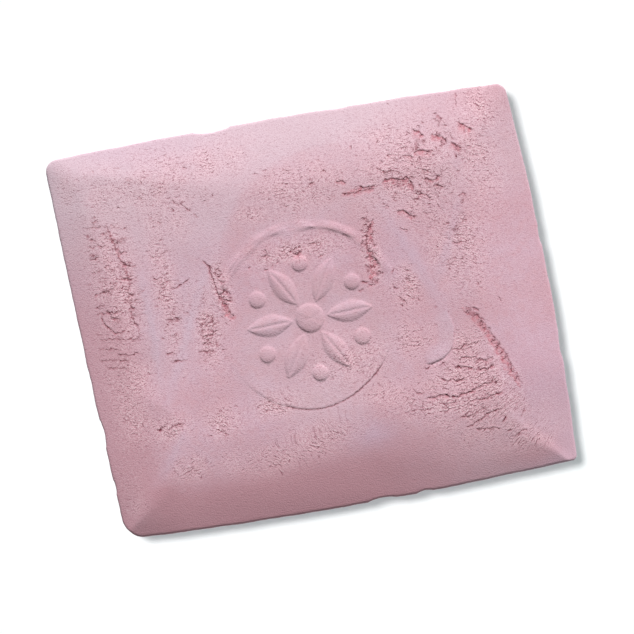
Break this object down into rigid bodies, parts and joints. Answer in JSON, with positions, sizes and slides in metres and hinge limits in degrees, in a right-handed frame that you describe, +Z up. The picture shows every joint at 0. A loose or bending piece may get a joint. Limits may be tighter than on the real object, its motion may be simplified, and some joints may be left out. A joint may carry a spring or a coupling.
{
  "type": "tailor's chalk block",
  "caption": "Rectangular pressed block of tailor's chalk, bevelled on both faces to a thin rim for drawing lines on cloth, with a shallow round rosette seal.",
  "frame": {"origin": "on the surface that the block lies on, under the middle of its outline", "axes": "+X along the block's long side, +Y across it, +Z up out of the face that carries the seal"},
  "size_m": [0.0548, 0.046, 0.0071],
  "materials": {
    "pressed_chalk": "matte"
  },
  "bodies": {
    "root": {"chalk_block": "pressed_chalk"}
  },
  "joints": []
}
